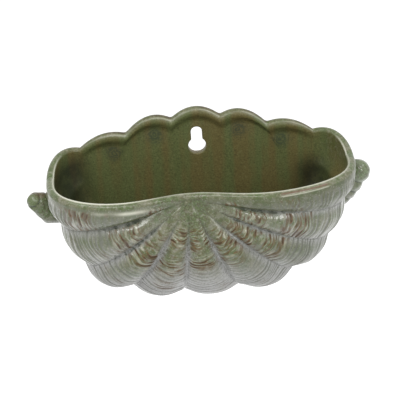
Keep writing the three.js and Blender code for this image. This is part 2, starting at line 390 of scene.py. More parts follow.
def lumps(points, length):
    """Soft random unevenness between about -1 and 1, with humps of about the given length."""
    total = np.zeros(points.shape[:-1])
    for _ in range(LUMP_WAVES):
        wave = unit(rng.normal(size=3)) * 2 * math.pi / (length * rng.uniform(*LUMP_SPREAD))
        total = total + np.sin(points @ wave + rng.uniform(0, 2 * math.pi))
    return total / 3


def ring_count(along, width):
    """Number of growth rings passed on the way from the hinge, uneven from rib to rib."""
    rib = column_rib[:, None]
    share = column_share[:, None]
    bowed = along + RING_BOW * width * (1 - bump(share))
    phases = rng.uniform(0, 2 * math.pi, (len(RING_WAVES) + 1, len(RIB_RATIOS)))
    count = np.array(RING_RATES)[rib] * np.log1p(RING_SPREAD * bowed / RING_PITCH) / RING_SPREAD
    for phase, (length, size) in zip(phases, RING_WAVES):
        count = count + size * np.sin(2 * math.pi * bowed / length + phase[rib])
    across, onward = RING_WAVER_TURNS
    waver = np.sin(2 * math.pi * (across * share + onward * bowed) + phases[-1][rib])
    return count + RING_WAVER * waver


def streak_share(along):
    """How far the glaze breaks to brown strokes, which lie in clusters on the ribs."""
    share = np.zeros_like(along)
    for rib, clusters in enumerate(STREAKS):
        for spot, reach in clusters:
            share = np.maximum(share, bell(along - spot, reach) * (column_rib == rib)[:, None])
    return share


def dressed(grid):
    """The outer face with its rolled rim, grooves and growth rings, and the masks that go with them."""
    along = along_rows(grid)
    rib = column_rib[:, None]
    width = rib_widths[rib] * np.clip(along / FULL_WIDTH_AT, 0, 1)
    to_start = np.where(column_rib > 0, column_share, 1)
    to_end = np.where(column_rib < len(RIB_RATIOS) - 1, 1 - column_share, 1)
    to_groove = np.minimum(to_start, to_end)[:, None] * width
    to_wall = -grid[..., 1]
    below = np.maximum(RIM_HEIGHT - grid[..., 2], 0)
    near_hinge = 1 - smoothstep(*ROLL_END, np.arange(grid.shape[1])[None] / FRONT_ROWS)
    clear = smoothstep(0, CLEAR_OF_GROOVE, to_groove)
    open_end = smoothstep(*GROOVE_END, along)

    groove = bell(to_groove, GROOVE_WIDTH) * smoothstep(*GROOVE_START, along)
    groove = groove * (0.75 + 0.35 * lumps(grid, length=6))
    groove = groove * smoothstep(0, GROOVE_TO_WALL, to_wall) * (1 - 0.8 * open_end)
    count = ring_count(along, width)
    strengths = rng.uniform(*RING_STRENGTHS, (len(RIB_RATIOS), RINGS_PER_RIB))
    strength = strengths[rib, count.astype(int) % RINGS_PER_RIB]
    ridge = strength * np.abs(np.sin(math.pi * count)) ** RING_SHARPNESS - RING_MEAN
    scattered = 0.35 * smoothstep(0, 0.8, lumps(grid, length=26)) * smoothstep(*SCATTER_START, along)
    streaky = streak_share(along) * np.clip(0.9 + 0.5 * lumps(grid, length=11), 0, 1)
    streaky = np.maximum(streaky, scattered * (1 - 0.7 * smoothstep(*SCATTER_END, along)))
    strong = np.maximum(smoothstep(*RINGS_GROW, along), 0.9 * streaky) * clear
    strong = strong * smoothstep(*RINGS_BELOW_RIM, below) * smoothstep(0, RINGS_TO_WALL, to_wall)

    roll = ROLL_HEIGHT * np.exp(-((below / ROLL_REACH) ** 4)) * near_hinge
    uneven = LUMP_HEIGHT * lumps(grid, length=9) * bell(along, LUMP_REACH)
    uneven = uneven * smoothstep(0, LUMP_BELOW_RIM, below)
    fill = VALLEY_FILL * open_end * bell(to_groove, VALLEY_WIDTH)
    fill = fill * smoothstep(0, VALLEY_TO_WALL, to_wall)
    by_hinge = smoothstep(*HINGE_FILL_START, along) * (1 - smoothstep(*HINGE_FILL_END, along))
    fill = fill + HINGE_FILL * by_hinge * bell(to_groove, HINGE_FILL_WIDTH)
    height = roll + uneven + fill - GROOVE_DEPTH * groove + RING_DEPTH * strong * ridge

    shade = np.array(GROOVE_SHADES)[np.round(column_spot).astype(int)]
    # Painted shade on each rib, from the table of painted shade on the ribs
    depth = np.interp(column_spot, np.arange(len(PAINTED_SHADE_ON_RIBS)) + 0.5, PAINTED_SHADE_ON_RIBS)
    free_edge = np.minimum(to_start, to_end) >= 0.5
    # Painted highlight on the left rib's shoulder below the rim
    from_left = grid[..., 0] - SHOULDER_SPAN[0]
    from_right = SHOULDER_SPAN[1] - grid[..., 0]
    shoulder_highlight = smoothstep(0, SHOULDER_FADE, from_left) * smoothstep(0, SHOULDER_FADE, from_right)
    shoulder_highlight = shoulder_highlight * bell(below - SHOULDER_DROP, SHOULDER_WIDTH) * near_hinge
    shoulder_highlight = shoulder_highlight * np.clip(0.5 + 0.5 * lumps(grid, length=16), 0, 1)
    masks = {
        "rib": column_spot[:, None],
        "clear": clear,
        "crest": np.where(free_edge, 1, bump(column_share))[:, None],
        "streaky": streaky,
        "gloss": np.array(RIB_GLOSS)[rib] * smoothstep(0, GLOSS_OFF_GROOVE, to_groove),
        "ring": count,
        "along": along,
        "groove": groove * shade[:, None],
        "below": below,
        "pale": 0.6 * shoulder_highlight,
        "deep": depth[:, None],
    }
    masks = {name: np.broadcast_to(mask, along.shape) for name, mask in masks.items()}
    return grid + grid_normals(grid) * height[..., None], masks


def lip_points(outer, inner):
    """The half round that rolls from an outer edge over to the inner one."""
    middle = (outer + inner) / 2
    half = inner - middle
    turn = np.linspace(0, math.pi, LIP_STEPS + 1)[None, :, None]
    arc = middle[:, None] - half[:, None] * np.cos(turn)
    arc[..., 2] += np.linalg.norm(half, axis=1)[:, None] * np.sin(turn[..., 0])
    return arc


def keyhole_half(z):
    """Half the keyhole's width at a height."""
    neck = -HEAD_DROP + math.sqrt(HEAD_RADIUS**2 - SLOT_RADIUS**2)
    slot = np.sqrt(np.maximum(SLOT_RADIUS**2 - np.maximum(z, 0) ** 2, 0)) * (z >= neck)
    head = np.sqrt(np.maximum(HEAD_RADIUS**2 - (z + HEAD_DROP) ** 2, 0))
    return np.maximum(slot, head)


def keyhole_rows():
    """Rows of the flat back, close together where the keyhole's ends are round."""
    neck_turn = math.pi - math.asin(SLOT_RADIUS / HEAD_RADIUS)
    middle = flat_points(np.array([middle_column]), np.array([[0.0, 1.0]]), INSIDE)[0, :, 2]
    head = -HEAD_DROP - HEAD_RADIUS * np.cos(np.linspace(0, neck_turn, HEAD_ROWS))
    slot = SLOT_RADIUS * np.sin(np.linspace(0, math.pi / 2, SLOT_ROWS))
    foot = np.linspace(middle[0], APPROACH_SPAN[0], FOOT_ROWS)
    approach = np.linspace(APPROACH_SPAN[1], head[0], APPROACH_ROWS)[:-1]
    neck = np.linspace(head[-1], 0, NECK_ROWS)[1:-1]
    upper = np.linspace(slot[-1], middle[1], UPPER_ROWS)[1:]
    heights = np.concatenate([foot, approach, head, neck, slot, upper])
    return (heights - middle[0]) / (middle[1] - middle[0])


def open_keyhole(grid, heights, side):
    """Half of a flat grid, its middle column spread along the keyhole's edge and that edge rounded off."""
    edge = grid[None, -1 if side < 0 else 0, :, 0]
    zone = smoothstep(*KEYHOLE_FROM, heights) * (1 - smoothstep(*KEYHOLE_TO, heights))
    crowding = lerp(1, KEYHOLE_CROWDING, zone)
    away = np.clip((grid[..., 0] - edge) * side / KEYHOLE_REACH, 0, 1) ** crowding
    half = keyhole_half(heights)
    start = edge * (1 - zone) + side * half
    opened = grid.copy()
    opened[..., 0] = np.where(away < 1, lerp(start, edge + side * KEYHOLE_REACH, away), grid[..., 0])
    opened[..., 2] = lerp(grid[..., 2], heights, zone * (1 - away))
    from_edge = np.clip(away * KEYHOLE_REACH / KEYHOLE_ROUND, 0, 1)
    fall = KEYHOLE_ROUND * (1 - np.sqrt(1 - (1 - from_edge) ** 2)) * (half > KEYHOLE_CLOSED)
    on_inside = grid[..., 1] < -WALL / 2
    opened[..., 1] += np.where(on_inside, fall, -fall)
    return opened


def smooth_piece(name, points, faces, masks, material):
    """A smooth mesh that rides on the one body, with a layer for each mask."""
    mesh = bpy.data.meshes.new(name)
    mesh.from_pydata((points * MM).tolist(), [], faces)
    for mask, values in masks.items():
        layer = mesh.attributes.new(mask, "FLOAT", "POINT")
        layer.data.foreach_set("value", values.astype(np.float32))
    mesh.materials.append(material)
    mesh.shade_smooth()
    piece = bpy.data.objects.new(name, mesh)
    bpy.context.scene.collection.objects.link(piece)
    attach(piece, "root")
    return piece


class Patchwork:
    """Collects grids of points with their masks and welds them into one closed mesh."""

    def __init__(self):
        self.points, self.faces, self.masks, self.normals = [], [], [], []
        self.size = 0

    def gather(self, points, normals, masks):
        """Takes in points and gives their numbers."""
        numbers = self.size + np.arange(len(points))
        self.points.append(points)
        self.normals.append(normals)
        self.masks.append(masks)
        self.size += len(points)
        return numbers

    def add(self, grid, flip, normals=None, **masks):
        """Takes in a grid with its faces, which flip turns round."""
        shape = grid.shape[:2]
        normals = np.zeros(grid.shape) if normals is None else normals
        spread = {name: np.broadcast_to(mask, shape).ravel() for name, mask in masks.items()}
        index = self.gather(grid.reshape(-1, 3), normals.reshape(-1, 3), spread).reshape(shape)
        corners = [index[:-1, :-1], index[1:, :-1], index[1:, 1:], index[:-1, 1:]]
        self.faces += np.stack(corners if flip else corners[::-1], -1).reshape(-1, 4).tolist()

    def close(self, loop, flip):
        """One face round a loop of points."""
        index = self.gather(loop, np.zeros(loop.shape), {}).tolist()
        self.faces.append(index[::-1] if flip else index)

    def bridge(self, fine, coarse, flip):
        """Faces from an edge to one with fewer points."""
        step = (len(fine) - 1) // (len(coarse) - 1)
        for end in range(1, len(coarse)):
            near = fine[(end - 1) * step : end * step + 1]
            self.close(np.concatenate([near, coarse[[end, end - 1]]]), flip)

    def build(self, name, material):
        """The piece, with points in the same place welded together."""
        points = np.concatenate(self.points)
        rounded = np.round(points, WELD_DIGITS)
        _, first, place = np.unique(rounded, axis=0, return_index=True, return_inverse=True)
        place = place.ravel().tolist()
        faces = []
        for corners in self.faces:
            face = list(dict.fromkeys(place[corner] for corner in corners))
            if len(face) > 2:
                faces.append(face)
        layers = {}
        for mask in sorted({key for masks in self.masks for key in masks}):
            parts = [masks.get(mask, np.zeros(len(grid))) for masks, grid in zip(self.masks, self.points)]
            layers[mask] = np.concatenate(parts)[first]
        piece = smooth_piece(name, points[first], faces, layers, material)
        normals = np.concatenate(self.normals)[first]
        piece.data.normals_split_custom_set_from_vertices(normals.tolist())
        return piece


def srgb(red, green, blue):
    """A colour as seen on screen, 0 to 255, turned into the light values that the nodes take."""
    shares = np.array([red, green, blue]) / 255
    light = np.where(shares <= 0.04045, shares / 12.92, ((shares + 0.055) / 1.055) ** 2.4)
    return (*light.tolist(), 1.0)


# Colours of the glaze outside
GREY_GREEN = srgb(108, 109, 81)
LEAF_GREEN = srgb(86, 103, 58)
DEEP_GREEN = srgb(70, 84, 44)
WARM_GREY = srgb(136, 135, 119)
STROKE_GREY = srgb(132, 133, 122)
STROKE_GREEN = srgb(92, 98, 62)
EAR_GREEN = srgb(88, 112, 62)
# Painted reflection of the white floor on the ribs' undersides and low ends
PAINTED_FLOOR_REFLECTION = srgb(181, 180, 182)
# Painted reflection of the white room in the valleys between the ribs
PAINTED_VALLEY_REFLECTION = srgb(174, 174, 174)
# Painted shade on some ribs
PAINTED_RIB_SHADE = srgb(66, 74, 44)
DARK_SPECK = srgb(88, 92, 66)
PALE_SPECK = srgb(172, 172, 154)
VEIN_BROWN = srgb(74, 68, 44)
RING_GREY = srgb(96, 98, 87)
BROKEN_CREAM = srgb(168, 165, 144)
BROKEN_TAN = srgb(110, 84, 54)
BROKEN_BROWN = srgb(66, 48, 26)
GROOVE_DARK = srgb(64, 70, 56)
# Painted highlight on the rims and on the left rib's shoulder
PAINTED_HIGHLIGHT = srgb(236, 235, 218)
CHIP_BROWN = srgb(104, 70, 54)

# Colours of the glaze inside
OLIVE_GREEN = srgb(93, 101, 61)
OLIVE_BROWN = srgb(103, 95, 57)
OLIVE_DARK_SPECK = srgb(64, 62, 38)
OLIVE_PALE_SPECK = srgb(132, 128, 88)
SWIRL_DARK = srgb(54, 63, 50)
# Dark pooled glaze with painted shade in the inside's corners
POOLED_GLAZE_AND_SHADE = srgb(27, 32, 26)

# Colours of the wash against the wall
WASH_OLIVE = srgb(104, 100, 72)
WASH_CLAY = srgb(134, 118, 90)
WASH_SPECK = srgb(82, 78, 54)


class Graph:
    """A material and short ways to add nodes to it."""

    def __init__(self, name):
        self.material = bpy.data.materials.new(name)
        self.material.use_nodes = True
        self.tree = self.material.node_tree
        self.shader = self.tree.nodes["Principled BSDF"]

    def feed(self, socket, value):
        if isinstance(value, bpy.types.NodeSocket):
            self.tree.links.new(value, socket)
        else:
            socket.default_value = value

    def node(self, kind, inputs, **settings):
        made = self.tree.nodes.new(kind)
        for key, value in settings.items():
            setattr(made, key, value)
        for key, value in inputs.items():
            self.feed(made.inputs[key], value)
        return made

    def mask(self, name):
        return self.node("ShaderNodeAttribute", {}, attribute_name=name).outputs["Fac"]

    def place(self):
        return self.node("ShaderNodeTexCoord", {}).outputs["Object"]

    def vector(self, x, y, z):
        return self.node("ShaderNodeCombineXYZ", {0: x, 1: y, 2: z}).outputs[0]

    def noise(self, vector, scale, detail=2.0, roughness=0.5):
        inputs = {"Vector": vector, "Scale": scale, "Detail": detail, "Roughness": roughness}
        return self.node("ShaderNodeTexNoise", inputs).outputs["Fac"]

    def math(self, operation, a, b=0.0):
        return self.node("ShaderNodeMath", {0: a, 1: b}, operation=operation).outputs[0]

    def times(self, *factors):
        product = factors[0]
        for factor in factors[1:]:
            product = self.math("MULTIPLY", product, factor)
        return product

    def ramp(self, value, low, high, start=0.0, end=1.0):
        inputs = {"Value": value, "From Min": low, "From Max": high, "To Min": start, "To Max": end}
        made = self.node("ShaderNodeMapRange", inputs, interpolation_type="SMOOTHSTEP")
        return made.outputs["Result"]

    def mix(self, share, a, b, blend="MIX"):
        made = self.node("ShaderNodeMix", {0: share, 6: a, 7: b}, data_type="RGBA", blend_type=blend)
        return made.outputs[2]

    def relief(self, height, strength, distance):
        inputs = {"Height": height, "Strength": strength, "Distance": distance}
        self.feed(self.shader.inputs["Normal"], self.node("ShaderNodeBump", inputs).outputs["Normal"])


def mottled_green(graph, mask, clouds, mottle):
    """The green ground with paler and darker patches and strokes, greenest on the ears' tips."""
    across = graph.vector(graph.times(mask["rib"], 6.0), graph.times(mask["ring"], 0.9), 0.0)
    strokes = graph.noise(across, 1.0, 3, 0.6)
    grey_strokes = graph.times(graph.ramp(strokes, 0.5, 0.66, 0, 0.6), mask["clear"])
    green_strokes = graph.times(graph.ramp(strokes, 0.5, 0.34, 0, 0.5), mask["clear"])
    color = graph.mix(graph.ramp(clouds, 0.4, 0.62), GREY_GREEN, LEAF_GREEN)
    color = graph.mix(graph.ramp(mottle, 0.5, 0.64, 0, 0.75), color, DEEP_GREEN)
    color = graph.mix(graph.ramp(mottle, 0.5, 0.36, 0, 0.65), color, WARM_GREY)
    color = graph.mix(grey_strokes, color, STROKE_GREY)
    color = graph.mix(green_strokes, color, STROKE_GREEN)
    return graph.mix(graph.times(mask["green"], 0.6), color, EAR_GREEN)


def painted_reflection_and_shade(graph, mask, color, place, clouds):
    """Painted reflection of the white floor on what faces down and low on the ribs, painted reflection in
    the valleys, and painted shade on some ribs, most by the rim.
    """
    height = graph.node("ShaderNodeSeparateXYZ", {0: place}).outputs["Z"]
    # Painted reflection of the white floor: paler where the face turns down, and low on the ribs
    facing = graph.node("ShaderNodeNewGeometry", {}).outputs["Normal"]
    upward = graph.node("ShaderNodeSeparateXYZ", {0: facing}).outputs["Z"]
    upward = graph.math("ADD", upward, graph.times(graph.math("SUBTRACT", clouds, 0.5), 1.2))
    lower = graph.ramp(mask["below"], 10, 34, 0.15, 1.0)
    under = graph.times(graph.ramp(upward, 0.05, -0.7, 0, 0.45), lower)
    floor_reflection = graph.math("MAXIMUM", under, graph.ramp(height, -0.055, -0.095, 0, 0.86))
    floor_reflection = graph.times(floor_reflection, graph.ramp(clouds, 0.3, 0.5, 0.7, 1.0))
    # Painted reflection: paler in the valleys between the ribs, away from the hinge
    valley_reflection = graph.times(
        graph.ramp(mask["crest"], 0.75, 0.1),
        graph.ramp(mask["along"], 14, 48),
        graph.ramp(mask["below"], 4, 18, 0.2, 1.0),
        graph.ramp(clouds, 0.3, 0.5, 0.6, 0.9),
    )
    color = graph.mix(floor_reflection, color, PAINTED_FLOOR_REFLECTION)
    color = graph.mix(valley_reflection, color, PAINTED_VALLEY_REFLECTION)
    # Painted shade on some ribs, darkest by the rim
    return graph.mix(mask["deep"], color, PAINTED_RIB_SHADE)


def specks_and_veins(graph, mask, color, place, grain, clouds):
    """Fine specks all over, and thin brown veins towards the hinge."""
    color = graph.mix(graph.ramp(grain, 0.5, 0.7, 0, 0.6), color, DARK_SPECK)
    color = graph.mix(graph.ramp(grain, 0.45, 0.28, 0, 0.45), color, PALE_SPECK)
    level = graph.math("SUBTRACT", graph.noise(place, 230, 2, 0.6), 0.5)
    veins = graph.times(
        graph.ramp(graph.math("ABSOLUTE", level), 0.045, 0.01),
        graph.ramp(clouds, 0.4, 0.54),
        graph.ramp(mask["along"], 85, 25),
    )
    return graph.mix(graph.times(veins, 0.75), color, VEIN_BROWN)


def broken_rings(graph, mask, color):
    """Dark lines between the rings, and clusters where the glaze breaks to cream and brown strokes."""
    rib, ring, below = mask["rib"], mask["ring"], mask["below"]
    swing = graph.math("ABSOLUTE", graph.math("SINE", graph.times(ring, math.pi)))
    line = graph.ramp(swing, 0.95, 0.3)
    number = graph.times(graph.math("ROUND", ring), 7.3)
    each = graph.noise(graph.vector(graph.times(rib, 1.3), number, 1.9), 1.0, 1)
    uneven = graph.times(graph.ramp(each, 0.32, 0.6, 0.2, 1.0), graph.ramp(below, 1, 8))
    lines = graph.times(line, uneven, graph.ramp(mask["along"], 40, 90, 0.15, 0.8))
    dash = graph.noise(graph.vector(graph.times(rib, 2.3), graph.times(ring, 1.7), 3.7), 1.0, 2, 0.5)
    broken = graph.times(
        graph.ramp(mask["streaky"], 0.05, 0.6),
        graph.ramp(mask["clear"], 0.1, 0.8),
        graph.ramp(below, 1, 3.5),
    )
    cream = graph.times(broken, graph.ramp(dash, 0.45, 0.36), 0.55)
    brown = graph.times(broken, graph.ramp(dash, 0.47, 0.55), graph.ramp(line, 0, 1, 0.5, 1.0))
    color = graph.mix(lines, color, RING_GREY)
    color = graph.mix(cream, color, BROKEN_CREAM)
    color = graph.mix(graph.times(brown, 0.85), color, BROKEN_TAN)
    color = graph.mix(graph.times(brown, graph.ramp(dash, 0.54, 0.62)), color, BROKEN_BROWN)
    return color, brown


def outer_glaze(graph, place, grain):
    """Colour of the outside with its painted reflection and shade, and how far it breaks to brown."""
    names = ("rib", "ring", "along", "below", "clear", "crest", "deep", "green", "groove", "streaky")
    mask = {name: graph.mask(name) for name in names}
    clouds = graph.noise(place, 60, 4, 0.6)
    mottle = graph.noise(place, 260, 3, 0.6)
    color = mottled_green(graph, mask, clouds, mottle)
    color = painted_reflection_and_shade(graph, mask, color, place, clouds)
    color = specks_and_veins(graph, mask, color, place, grain, clouds)
    color, brown = broken_rings(graph, mask, color)
    sunk = graph.times(
        graph.ramp(mask["groove"], 0.35, 0.8),
        graph.ramp(mottle, 0.4, 0.56, 0.3, 0.95),
        graph.ramp(mask["along"], 105, 55, 0.2, 1),
    )
    return graph.mix(sunk, color, GROOVE_DARK), brown


def inner_glaze(graph, place, grain):
    """Colour of the inside: satin olive in brown and green bands, with swirls, and dark pooled glaze with
    painted shade in the corners.
    """
    spot = graph.node("ShaderNodeSeparateXYZ", {0: place}).outputs
    runs = [graph.times(spot[axis], scale) for axis, scale in (("X", 92.0), ("Y", 30.0), ("Z", 5.0))]
    drift = graph.times(graph.math("SUBTRACT", graph.noise(place, 40, 3), 0.5), 0.3)
    band = graph.math("ADD", graph.noise(graph.vector(*runs), 1.0, 1), drift)
    color = graph.mix(graph.ramp(band, 0.38, 0.62), OLIVE_GREEN, OLIVE_BROWN)
    color = graph.mix(graph.ramp(grain, 0.48, 0.7, 0, 0.6), color, OLIVE_DARK_SPECK)
    color = graph.mix(graph.ramp(grain, 0.46, 0.28, 0, 0.45), color, OLIVE_PALE_SPECK)
    swirl = graph.mask("swirl")
    arcs = graph.math("ADD", graph.times(swirl, 24.0), graph.times(graph.noise(place, 170, 2), 22.0))
    arcs = graph.ramp(graph.math("SINE", arcs), -1.0, 0.8, 0.28, 0.72)
    color = graph.mix(graph.times(graph.ramp(swirl, 0.0, 0.8), arcs), color, SWIRL_DARK)
    # Dark pooled glaze with painted shade in the inside's corners
    patchy = graph.ramp(graph.noise(place, 120, 3, 0.6), 0.3, 0.6, 0.75, 1.0)
    return graph.mix(graph.times(graph.mask("pool"), patchy, 0.95), color, POOLED_GLAZE_AND_SHADE)


def wall_glaze(graph, place, grain):
    """Colour of the face against the wall: a thin dry wash over the clay."""
    clouds = graph.noise(place, 24, 4, 0.6)
    color = graph.mix(graph.ramp(clouds, 0.35, 0.65), WASH_OLIVE, WASH_CLAY)
    return graph.mix(graph.ramp(grain, 0.5, 0.7, 0, 0.5), color, WASH_SPECK)


def glaze():
    """The glaze of the whole planter, told apart by the masks of each piece."""
    graph = Graph("shell_glaze")
    place = graph.place()
    grain = graph.noise(place, 800, 3, 0.6)
    inner, wall = graph.mask("inner"), graph.mask("wall")
    outside, brown = outer_glaze(graph, place, grain)
    color = graph.mix(inner, outside, inner_glaze(graph, place, grain))
    color = graph.mix(wall, color, wall_glaze(graph, place, grain))
    # Painted highlights on the rims and on the left rib's shoulder
    color = graph.mix(graph.mask("pale"), color, PAINTED_HIGHLIGHT)
    chips = graph.times(graph.mask("worn"), graph.ramp(graph.noise(place, 60, 3), 0.3, 0.44))
    color = graph.mix(graph.times(chips, 0.85), color, CHIP_BROWN)
    shader = graph.shader.inputs
    graph.feed(shader["Base Color"], color)
    rough = graph.math("ADD", graph.ramp(inner, 0, 1, 0.28, 0.4), graph.times(brown, 0.12))
    rough = graph.math("ADD", rough, graph.ramp(grain, 0.4, 0.7, 0, 0.1))
    graph.feed(shader["Roughness"], graph.math("MAXIMUM", rough, graph.times(wall, 0.6)))
    dull = graph.math("ADD", wall, graph.times(graph.mask("groove"), 0.7))
    dull = graph.math("ADD", dull, graph.times(brown, 0.7))
    coat = graph.math("MAXIMUM", graph.mask("gloss"), graph.ramp(inner, 0, 1, 0.3, 0.1))
    coat = graph.math("SUBTRACT", coat, dull)
    graph.feed(shader["Coat Weight"], graph.math("MAXIMUM", coat, 0.0))
    shader["Coat IOR"].default_value = 1.6
    shader["Specular IOR Level"].default_value = 0.3
    graph.feed(shader["Coat Roughness"], graph.ramp(graph.noise(place, 90, 2), 0.3, 0.7, 0.06, 0.16))
    graph.relief(graph.noise(place, 300, 3), 0.22, 0.0006)
    return graph.material


body_glaze = glaze()

# The outer face runs unbroken from the hinge to the wall, and row FRONT_ROWS is the seam of the two pieces.
plain_front = front_points(everywhere, front_rows[None], OUTSIDE)
plain_turn = back_points(everywhere, turn_rows[None, 1:], OUTSIDE)
outer, outer_masks = dressed(np.concatenate([plain_front, plain_turn], 1))
outer_normals = grid_normals(outer)
inner_front = front_points(inside_columns, front_rows[None], INSIDE)
inner_turn = back_points(inside_columns, turn_rows[None], INSIDE)
inner_normals = -grid_normals(np.concatenate([inner_front, inner_turn[:, 1:]], 1))
lip_share = np.linspace(0, 1, LIP_STEPS + 1)[None]

# Lines along a lip: the share of the way over it from the outside, and the width; the pale lines are painted
# highlights
RIM_WORN_LINE = (0.24, 0.08)
RIM_EDGE_HIGHLIGHT = (0.06, 0.05)
RIM_PALE_WIDTH = 0.085
CORNER_PALE_LINE = (0.8, 0.06)
CORNER_WORN_LINE = (0.42, 0.06)
TOP_DARK_LINE = (0.55, 0.11)
TOP_PALE_LINE = (0.74, 0.05)
TOP_INNER = 0.15 + 0.85 * smoothstep(0.55, 1, lip_share)
# Where the front rim breaks to the inside: the share over the lip at the hinge and at the seam
RIM_BREAK = (0.5, 0.78)
RIM_BREAK_SHIFT = (0.55, 1)
RIM_BREAK_FADE = (0.13, 0.22)


def thin_line(spot, width):
    """A line along a lip."""
    return bell(lip_share - spot, width)


def rim_masks(edge):
    """Masks of the front rim: a painted highlight where it breaks to the inside, and one worn stretch on the
    right with a painted highlight line beside it.
    """
    rows = np.linspace(0, 1, len(edge))[:, None]
    x = edge[:, :1]
    spot = lerp(*RIM_BREAK, smoothstep(*RIM_BREAK_SHIFT, rows))
    worn = smoothstep(0, WORN_FADE, x - WORN_SPAN[0]) * smoothstep(0, WORN_FADE, WORN_SPAN[1] - x)
    # Painted highlight along the rim's inner edge, strongest on the left away from the hinge
    brightest = lerp(0.6, 0.25, smoothstep(*RIM_QUIET, x))
    bright = 0.35 + brightest * smoothstep(*RIM_BRIGHT, np.abs(x - HINGE_OFFSET))
    worn_edge_highlight = 0.5 * worn * thin_line(*RIM_EDGE_HIGHLIGHT)
    return {
        "inner": smoothstep(*RIM_BREAK_FADE, lip_share - spot),
        "pale": np.maximum(bright * thin_line(spot, RIM_PALE_WIDTH), worn_edge_highlight),
        "worn": worn * thin_line(*RIM_WORN_LINE),
    }


def bowl_masks(points):
    """Masks of the inside: dark pooled glaze with painted shade at the left end and in the right corner, and
    thin glaze by the rim.
    """
    x, depth = points[..., 0], -points[..., 2]
    left = smoothstep(*LEFT_POOL_AND_SHADE, -x) * smoothstep(*LEFT_POOL_AND_SHADE_DEPTH, depth)
    right = smoothstep(*RIGHT_POOL_AND_SHADE, x) * (1 - smoothstep(*RIGHT_POOL_AND_SHADE_END, x))
    right = right * smoothstep(*RIGHT_POOL_AND_SHADE_DEPTH, depth)
    thin = smoothstep(*THIN_GLAZE, x) * bell(depth + RIM_HEIGHT, THIN_GLAZE_REACH)
    return {"inner": 1 - 0.6 * thin, "pool": 0.85 * np.maximum(left, right)}


def seam_only(normals, row):
    """Normals set on the row at the seam alone, so that the two pieces shade alike there."""
    kept = np.zeros_like(normals)
    kept[:, row] = normals[:, row]
    return kept


def outer_part(rows):
    """The masks of some rows of the outer face."""
    return {name: mask[:, rows] for name, mask in outer_masks.items()}


def edge_part(column, rows):
    """What the rim takes over from the outer face beside it."""
    names = ("rib", "ring", "along", "crest")
    return {name: outer_masks[name][column, rows][:, None] for name in names}


front_part, back_part = slice(0, FRONT_ROWS + 1), slice(FRONT_ROWS, None)
# The two ends of the fan: the column, and whether the faces of its lip are turned round
RIM_SIDES = ((0, False), (-1, True))


def front_shell():
    """The front: its outer and inner face, the rim on both sides of the hinge and the seam."""
    outer_seam = seam_only(outer_normals[:, front_part], -1)
    inner_seam = seam_only(inner_normals[:, front_part], -1)
    front = Patchwork()
    front.add(outer[:, front_part], False, outer_seam, **outer_part(front_part))
    front.add(inner_front, True, inner_seam, **bowl_masks(inner_front))
    for column, flip in RIM_SIDES:
        rim = outer[column, front_part]
        lip = lip_points(rim, inner_front[column])
        front.add(lip, flip, **rim_masks(rim), **edge_part(column, front_part))
        front.close(lip[-1], flip)
    front.bridge(outer[:, FRONT_ROWS], inner_front[:, -1], True)
    front_piece = front.build("front_shell_glazed", body_glaze)
    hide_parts("front_shell")


def corner_masks(column):
    """Masks of the rim where it turns round a corner to the wall."""
    turn = turn_rows[:, None]
    masks = {
        "inner": lerp(smoothstep(0.88, 1, lip_share), TOP_INNER, smoothstep(0, 1, turn)),
        # A painted highlight along the rim where it turns round the corner
        "pale": thin_line(*CORNER_PALE_LINE) * (1 - smoothstep(0, 0.6, turn)),
        "worn": thin_line(*CORNER_WORN_LINE) * smoothstep(0.6, 1, turn),
    }
    return masks | edge_part(column, back_part)


def swirl_mask(flat):
    """Round smudges under the lobes, from 0 at their edge to 1 in the middle."""
    below_edge = flat[:, -1:, 2] - flat[..., 2]
    swirl = np.zeros_like(below_edge)
    for spot in SWIRL_SPOTS:
        away = np.hypot(np.abs(flat[..., 0]) - spot, below_edge - SWIRL_DROP)
        swirl = np.maximum(swirl, 1 - away / SWIRL_RADIUS)
    return swirl


def add_flat(back):
    """The flat of the back, both faces in two halves round the keyhole, and its scalloped top edge."""
    rows = keyhole_rows()[None]
    inner_flat = flat_points(everywhere, rows, INSIDE)
    outer_flat = flat_points(everywhere, rows, OUTSIDE)
    swirl = swirl_mask(inner_flat)
    keyhole = np.flatnonzero(keyhole_half(inner_flat[middle_column, :, 2]) > KEYHOLE_CLOSED)
    keyhole = slice(keyhole[0] - 1, keyhole[-1] + 2)
    for part, side in ((slice(0, middle_column + 1), -1), (slice(middle_column, None), 1)):
        heights = inner_flat[part][..., 2]
        inside = open_keyhole(inner_flat[part], heights, side)
        outside = open_keyhole(outer_flat[part], heights, side)
        back.add(inside, True, swirl=swirl[part], **bowl_masks(inside))
        back.add(outside, False, wall=1.0)
        edges = np.stack([inside[-1], outside[-1]] if side < 0 else [outside[0], inside[0]])
        back.add(edges[:, keyhole], True, inner=1.0)
    back.bridge(inner_flat[:, 0], inner_turn[:, -2], True)
    lip = lip_points(outer_flat[:, -1], inner_flat[:, -1])
    right_of_lobe = lerp(0.3, 1, smoothstep(0.4, 0.75, lobe_share))[:, None]
    dark = thin_line(*TOP_DARK_LINE) * right_of_lobe
    # A painted highlight along the lip, stronger on the right sides of the lobes
    pale = 0.3 * thin_line(*TOP_PALE_LINE) * right_of_lobe
    back.add(lip, False, inner=TOP_INNER, groove=dark, worn=0.4 * dark, pale=pale)


